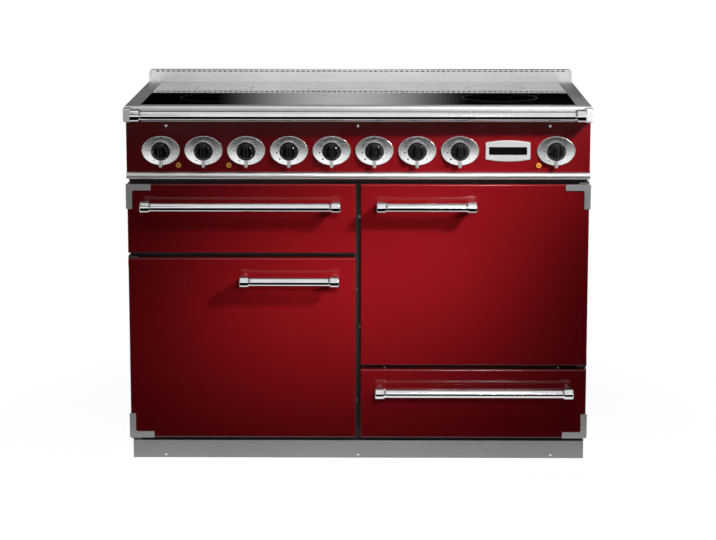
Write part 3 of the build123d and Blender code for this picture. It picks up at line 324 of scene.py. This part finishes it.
finishes = {
    "red_enamel": red_enamel(),
    "stainless": brushed_steel("stainless", 0.50, 0.62, 0.24, 0.40),
    # Darker copies of the stainless steel: their lower tone is a painted shade on the plinth and the corner
    # plates
    "plinth_steel_painted_shade": brushed_steel("plinth_steel_painted_shade", 0.30, 0.37, 0.45, 0.60),
    "corner_steel_painted_shade": brushed_steel("corner_steel_painted_shade", 0.42, 0.52, 0.42, 0.60),
    # Paler copies of the stainless steel: their higher tone is a painted light on the polished trim, upstand,
    # hob frame, dial plates and badge
    "polished_trim": brushed_steel("polished_trim", 0.80, 0.90, 0.34, 0.46),
    "upstand_steel_painted_light": brushed_steel("upstand_steel_painted_light", 0.90, 0.96, 0.20, 0.30),
    "hob_steel_painted_light": brushed_steel("hob_steel_painted_light", 0.86, 0.95, 0.42, 0.55),
    "bezel_steel_painted_light": brushed_steel("bezel_steel_painted_light", 0.80, 0.90, 0.20, 0.30),
    "badge_steel_painted_light": brushed_steel("badge_steel_painted_light", 0.92, 0.97, 0.42, 0.52),
    "rail_chrome": rail_chrome(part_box("handrail")[1]),
    "chrome": bright_plate("chrome", (0.72, 0.72, 0.73), 0.05, 0.10),
    "plated_wire": bright_plate("plated_wire", (0.66, 0.66, 0.67), 0.14, 0.26),
    "black_glass": black_glass(),
    "amber": amber(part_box("indicator_lenses")[0]),
    "oven_enamel": oven_enamel(),
    "frame_black": painted("frame_black", (0.010, 0.010, 0.011), (0.020, 0.020, 0.021), 0.35, 0.5, 600),
    "galvanised": galvanised(),
    "wool": wool(),
    "copper": wound_copper(),
    "element": painted("element", (0.05, 0.047, 0.045), (0.12, 0.112, 0.105), 0.45, 0.65, 500),
    "switch_plastic": painted("switch_plastic", (0.06, 0.06, 0.065), (0.10, 0.10, 0.105), 0.45, 0.6, 800),
    "seal": painted("seal", (0.02, 0.02, 0.02), (0.045, 0.045, 0.045), 0.7, 0.9, 900),
}
printed = painted("printed_ink", (0.012, 0.012, 0.013), (0.03, 0.03, 0.032), 0.5, 0.65, 900)
zone_print = painted("zone_print", (0.09, 0.09, 0.093), (0.14, 0.14, 0.143), 0.45, 0.6, 900)


def dress(piece, material):
    """Gives a piece one material in all its slots."""
    if not piece.material_slots:
        piece.data.materials.append(material)
    for spot in piece.material_slots:
        spot.material = material


# Parts that take the darker or paler copies of the stainless steel, whose tones are painted shade and painted
# light
own_finish = {
    "plinth": "plinth_steel_painted_shade",
    "upstand": "upstand_steel_painted_light",
    "hotplate_frame": "hob_steel_painted_light",
    "dial_bezels": "bezel_steel_painted_light",
    "handrail": "rail_chrome",
}
for front in ("grill", "left_door", "right_door", "drawer"):
    own_finish[f"{front}_corner_plate"] = "corner_steel_painted_shade"
for part in frame["record"]["subparts"]:
    name = part["node"]
    if part["material_slot"] == "knob_black":
        dress(nodes[name], knob_black(*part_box(name)))
    else:
        dress(nodes[name], finishes[own_finish.get(name, part["material_slot"])])


# Pieces that only the looks need


def piece_from(name, faces, material, body="cabinet"):
    """A mesh piece from lists of points, one list for each face, riding on a body."""
    shape = bmesh.new()
    for face in faces:
        shape.faces.new([shape.verts.new(point) for point in face])
    bmesh.ops.remove_doubles(shape, verts=shape.verts, dist=1e-7)
    mesh = bpy.data.meshes.new(name)
    shape.to_mesh(mesh)
    shape.free()
    piece = bpy.data.objects.new(name, mesh)
    bpy.context.scene.collection.objects.link(piece)
    dress(piece, material)
    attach(piece, body)
    return piece


# Marks printed on the dials: dots that shrink round the hob dials, ticks and figures on the oven dials
bezel_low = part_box("dial_bezels")[0]
dial_faces = BVHTree.FromObject(nodes["dial_bezels"], bpy.context.evaluated_depsgraph_get())
ink_lift = 0.00006
mark_radius = 0.0290
dot_points = 14
lever_reach = 0.039
dial_axes = []
for number in range(1, 10):
    low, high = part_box(f"knob_{number}")
    dial_axes.append(((low.x + high.x) / 2, low.z + lever_reach))


def on_dial(axis, x, z):
    """A point on the dished face of a dial plate, just clear of it."""
    in_front = Vector((axis[0] + x, bezel_low.y - ink_lift, axis[1] + z))
    point = dial_faces.ray_cast(in_front, Vector((0, 1, 0)))[0]
    return (point.x, point.y - ink_lift, point.z)


def dot(axis, angle, radius, size):
    """A round dot at a clockwise angle from the top."""
    x, z = radius * math.sin(angle), radius * math.cos(angle)
    turns = [2 * math.pi * i / dot_points for i in range(dot_points)]
    return [on_dial(axis, x + size * math.cos(t), z + size * math.sin(t)) for t in turns]


def tick(axis, angle, inner, outer, half_width):
    """A short radial line at a clockwise angle from the top."""
    along = Vector((math.sin(angle), math.cos(angle)))
    across = Vector((math.cos(angle), -math.sin(angle))) * half_width
    corners = (along * inner - across, along * outer - across, along * outer + across, along * inner + across)
    return [on_dial(axis, corner.x, corner.y) for corner in corners]


def figure(axis, text, angle, radius, height):
    """The faces of a figure standing upright at a clockwise angle from the top."""
    curve = bpy.data.curves.new("figure", "FONT")
    curve.body = text
    curve.size = height
    curve.align_x = "CENTER"
    curve.align_y = "CENTER"
    holder = bpy.data.objects.new("figure", curve)
    mesh = bpy.data.meshes.new_from_object(holder)
    x, z = radius * math.sin(angle), radius * math.cos(angle)
    faces = [[on_dial(axis, x + mesh.vertices[i].co.x, z + mesh.vertices[i].co.y) for i in face.vertices]
             for face in mesh.polygons]
    bpy.data.objects.remove(holder)
    bpy.data.curves.remove(curve)
    bpy.data.meshes.remove(mesh)
    return faces


hob_dials = range(3, 8)
off_dot = 0.0017
off_dot_rise = 0.0015
hob_steps = 8
hob_sweep = 264
first_dot = 0.0021
dot_shrink = 0.00014
ticks = 10
tick_pitch = 27
tick_inner = 0.0242
tick_outer = 0.0256
tick_half_width = 0.00035
figures = ("50", "100", "150", "200", "250")
figure_pitch = 2 * tick_pitch
figure_height = 0.0042
marks = []
for number, axis in enumerate(dial_axes):
    marks.append(dot(axis, 0, mark_radius + off_dot_rise, off_dot))
    if number in hob_dials:
        for step in range(hob_steps + 1):
            angle = math.radians(hob_sweep * (step / hob_steps - 0.5))
            if angle != 0:
                marks.append(dot(axis, angle, mark_radius, first_dot - dot_shrink * step))
    else:
        for step in range(1, ticks + 1):
            marks.append(tick(axis, math.radians(tick_pitch * step), tick_inner, tick_outer, tick_half_width))
        for step, text in enumerate(figures, start=1):
            marks += figure(axis, text, math.radians(figure_pitch * step), mark_radius, figure_height)
piece_from("dial_marks", marks, printed)

# Cooking zones printed on the glass as thin rings
glass_low, glass_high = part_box("hob_glass")
zone_spacing = 0.340
zone_rows = 0.235
centre_zone = 0.110
front_zone = 0.090
rear_zone = 0.0725
zone_line = 0.0014
ring_points = 96
glass_middle = (glass_low.y + glass_high.y) / 2
zones = [(0.0, glass_middle, centre_zone)]
for side in (-1, 1):
    zones.append((side * zone_spacing, glass_middle - zone_rows / 2, front_zone))
    zones.append((side * zone_spacing, glass_middle + zone_rows / 2, rear_zone))


def on_glass(x, y, radius, turn):
    angle = 2 * math.pi * turn / ring_points
    return (x + radius * math.cos(angle), y + radius * math.sin(angle), glass_high.z + ink_lift)


rings = []
for x, y, radius in zones:
    for turn in range(ring_points):
        inner, outer = radius - zone_line / 2, radius + zone_line / 2
        rings.append([on_glass(x, y, inner, turn), on_glass(x, y, outer, turn),
                      on_glass(x, y, outer, turn + 1), on_glass(x, y, inner, turn + 1)])
piece_from("zone_marks", rings, zone_print)

# Bare badge on the control panel: a bowed plate with a dark window
panel_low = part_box("control_panel")[0]
badge_x = 0.352
badge_z = dial_axes[0][1]
badge_width = 0.105
badge_end_height = 0.040
badge_height = 0.050
badge_thickness = 0.0022
window_width = 0.089
window_height = 0.0185
window_thickness = 0.0006
badge_bevel = 0.0008
window_bevel = 0.0002
bow_points = 24


def bowed_outline(width, end_height, height):
    """Outline of a plate whose top and bottom edges bow outwards."""
    steps = [-1 + 2 * i / bow_points for i in range(bow_points + 1)]
    rise = [end_height / 2 + (height - end_height) / 2 * (1 - s * s) for s in steps]
    top = [(s * width / 2, r) for s, r in zip(steps, rise)]
    return top + [(x, -z) for x, z in reversed(top)]


def plate(name, outline, back_y, thickness, material, bevel):
    """A plate standing on a face at back_y, its edges rounded."""
    shape = bmesh.new()
    base = shape.faces.new([shape.verts.new((badge_x + x, back_y, badge_z + z)) for x, z in outline])
    grown = bmesh.ops.extrude_face_region(shape, geom=[base])
    front = [v for v in grown["geom"] if isinstance(v, bmesh.types.BMVert)]
    bmesh.ops.translate(shape, verts=front, vec=(0, -thickness, 0))
    bmesh.ops.recalc_face_normals(shape, faces=shape.faces)
    mesh = bpy.data.meshes.new(name)
    shape.to_mesh(mesh)
    shape.free()
    piece = bpy.data.objects.new(name, mesh)
    bpy.context.scene.collection.objects.link(piece)
    rounding = piece.modifiers.new("rounding", "BEVEL")
    rounding.width = bevel
    rounding.segments = 3
    rounding.limit_method = "ANGLE"
    dress(piece, material)
    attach(piece, "cabinet")
    return piece


badge_outline = bowed_outline(badge_width, badge_end_height, badge_height)
# The badge plate takes the paler steel, whose higher tone is a painted light
plate("badge_plate", badge_outline, panel_low.y, badge_thickness,
      finishes["badge_steel_painted_light"], badge_bevel)
window_outline = bowed_outline(window_width, window_height, window_height)
plate("badge_window", window_outline, panel_low.y - badge_thickness, window_thickness,
      finishes["black_glass"], window_bevel)


# Studio


def stage_plane(name, low, high, height):
    """A level sheet that belongs to the studio."""
    mesh = bpy.data.meshes.new(name)
    outline = ((low[0], low[1]), (high[0], low[1]), (high[0], high[1]), (low[0], high[1]))
    corners = [(x, y, height) for x, y in outline]
    mesh.from_pydata(corners, [], [(0, 1, 2, 3)])
    sheet = bpy.data.objects.new(name, mesh)
    bpy.context.scene.collection.objects.link(sheet)
    sheet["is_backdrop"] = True
    return sheet


floor = stage_plane("floor", (-40, -40), (40, 40), 0.0)
pale = Finish("floor", {"Base Color": (0.6, 0.6, 0.6, 1), "Roughness": 0.7, "Specular IOR Level": 0.1,
                        "Emission Color": (1, 1, 1, 1)})
reach = pale.add("ShaderNodeVectorMath", operation="LENGTH")
pale.join(pale.where, reach.inputs[0])
glow = pale.between(reach.outputs["Value"], 0.90, 1.0, 0.9, 2.2)
path = pale.add("ShaderNodeLightPath")
seen = pale.maths("MAXIMUM", path.outputs["Is Camera Ray"], path.outputs["Is Glossy Ray"])
seen = pale.maths("MAXIMUM", seen, path.outputs["Is Transmission Ray"])
pale.join(pale.maths("MULTIPLY", glow, seen), "Emission Strength")
dress(floor, pale.material)

# A dark cloth on the floor in front, not seen by the camera, keeps the fronts deep in colour
cloth = stage_plane("dark_cloth", (-4.0, -8.8), (4.0, -0.50), 0.001)
dark = Finish("dark_cloth", {"Base Color": (0.02, 0.02, 0.02, 1), "Roughness": 0.9,
                             "Specular IOR Level": 0.0})
dress(cloth, dark.material)
cloth.visible_camera = False
cloth.visible_diffuse = False
cloth.visible_shadow = False


def place_lamp(name, data, place, target):
    """Puts a lamp at a place, aimed at a point."""
    lamp = bpy.data.objects.new(name, data)
    lamp.location = place
    lamp.rotation_euler = (Vector(target) - Vector(place)).to_track_quat("-Z", "Y").to_euler()
    bpy.context.scene.collection.objects.link(lamp)
    return lamp


def soft_box(name, place, target, size, radiance):
    """A large rectangular lamp of a given brightness."""
    data = bpy.data.lights.new(name, "AREA")
    data.shape = "RECTANGLE"
    data.size, data.size_y = size
    data.energy = math.pi * size[0] * size[1] * radiance
    return place_lamp(name, data, place, target)


soft_box("front_card", place=(0.05, -7.5, 1.42), target=(0.05, -0.25, 1.42), size=(2.8, 2.4), radiance=1.0)
soft_box("front_box", place=(0.2, -4.4, 3.0), target=(0.0, -0.27, 0.6), size=(2.0, 1.0), radiance=1.2)
soft_box("high_box", place=(0.15, -2.3, 3.3), target=(0.0, -0.27, 0.6), size=(2.0, 1.0), radiance=1.1)
soft_box("top_box", place=(0.0, -0.4, 3.3), target=(0.0, -0.4, 0.0), size=(2.0, 1.6), radiance=0.8)


def spot_lamp(name, place, target, cone, power, softness, stretch):
    """A lamp whose light fades from its middle to the edge of its cone, which is stretched to an oval."""
    data = bpy.data.lights.new(name, "SPOT")
    data.energy = power
    data.spot_size = math.radians(cone)
    data.spot_blend = 1.0
    data.shadow_soft_size = softness
    lamp = place_lamp(name, data, place, target)
    lamp.scale = (*stretch, 1)
    return lamp


spot_lamp("key", place=(1.63, -1.62, 1.98), target=(0.22, -0.27, 0.717),
          cone=15.5, power=370, softness=0.18, stretch=(1.5, 1))
spot_lamp("pool", place=(0.43, -3.58, 1.82), target=(0.03, -0.27, 0.42),
          cone=16.5, power=440, softness=0.2, stretch=(1, 0.55))

# The room: white to the camera, dim to metal and glass, with a band of glow behind the hob
world = bpy.data.worlds.new("studio")
bpy.context.scene.world = world
world.use_nodes = True
sky = world.node_tree
background = sky.nodes["Background"]


def sky_node(kind, inputs, **settings):
    """A new node of the world with its settings and inputs."""
    node = sky.nodes.new(kind)
    for setting, value in settings.items():
        setattr(node, setting, value)
    for socket, value in inputs.items():
        if isinstance(value, bpy.types.NodeSocket):
            sky.links.new(value, node.inputs[socket])
        else:
            node.inputs[socket].default_value = value
    return node


direction = sky_node("ShaderNodeTexCoord", {}).outputs["Generated"]
across, along, height = sky_node("ShaderNodeSeparateXYZ", {"Vector": direction}).outputs
overhead = sky_node("ShaderNodeMapRange", {"Value": height, "From Min": 0.12, "From Max": 1.0,
                                           "To Min": 0.0, "To Max": 0.06}).outputs["Result"]
offset = sky_node("ShaderNodeMath", {0: across, 1: 0.0163}, operation="ADD").outputs[0]
sideways = sky_node("ShaderNodeMath", {0: offset}, operation="ABSOLUTE").outputs[0]
behind = sky_node("ShaderNodeMath", {0: along, 1: 0.9}, operation="GREATER_THAN").outputs[0]
band = sky_node("ShaderNodeMapRange", {"Value": sideways, "From Min": 0.0, "From Max": 0.055, "To Min": 0.75,
                                       "To Max": 0.0}, interpolation_type="SMOOTHSTEP").outputs["Result"]
glow_behind = sky_node("ShaderNodeMath", {0: band, 1: behind}, operation="MULTIPLY").outputs[0]
room = sky_node("ShaderNodeMath", {0: overhead, 1: glow_behind}, operation="ADD").outputs[0]
rays = sky_node("ShaderNodeLightPath", {}).outputs
room_seen = sky_node("ShaderNodeMapRange", {"Value": along, "From Min": 0.35, "From Max": 0.85, "To Min": 0.28,
                                            "To Max": 0.0}, interpolation_type="SMOOTHSTEP").outputs["Result"]
to_metal = sky_node("ShaderNodeMath", {0: room_seen, 1: rays["Is Glossy Ray"]}, operation="MULTIPLY")
seen_sky = sky_node("ShaderNodeMath", {0: room, 1: to_metal.outputs[0]}, operation="MAXIMUM").outputs[0]
for ray in ("Is Camera Ray", "Is Transmission Ray"):
    seen_sky = sky_node("ShaderNodeMath", {0: seen_sky, 1: rays[ray]}, operation="MAXIMUM").outputs[0]
sky.links.new(seen_sky, background.inputs["Strength"])
background.inputs["Color"].default_value = (1, 1, 1, 1)


# Camera

camera_data = bpy.data.cameras.new("camera")
camera_data.lens = 117.2
camera_data.sensor_width = 36.0
camera_data.clip_end = 200
camera = bpy.data.objects.new("camera", camera_data)
camera.location = (0.053, -5.707, 1.473)
camera_tilt = 10.23
camera_turn = 0.56
camera.rotation_euler = (math.radians(90 - camera_tilt), 0, math.radians(camera_turn))
bpy.context.scene.collection.objects.link(camera)
bpy.context.scene.camera = camera
bpy.context.scene.view_settings.view_transform = "Standard"

low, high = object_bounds()
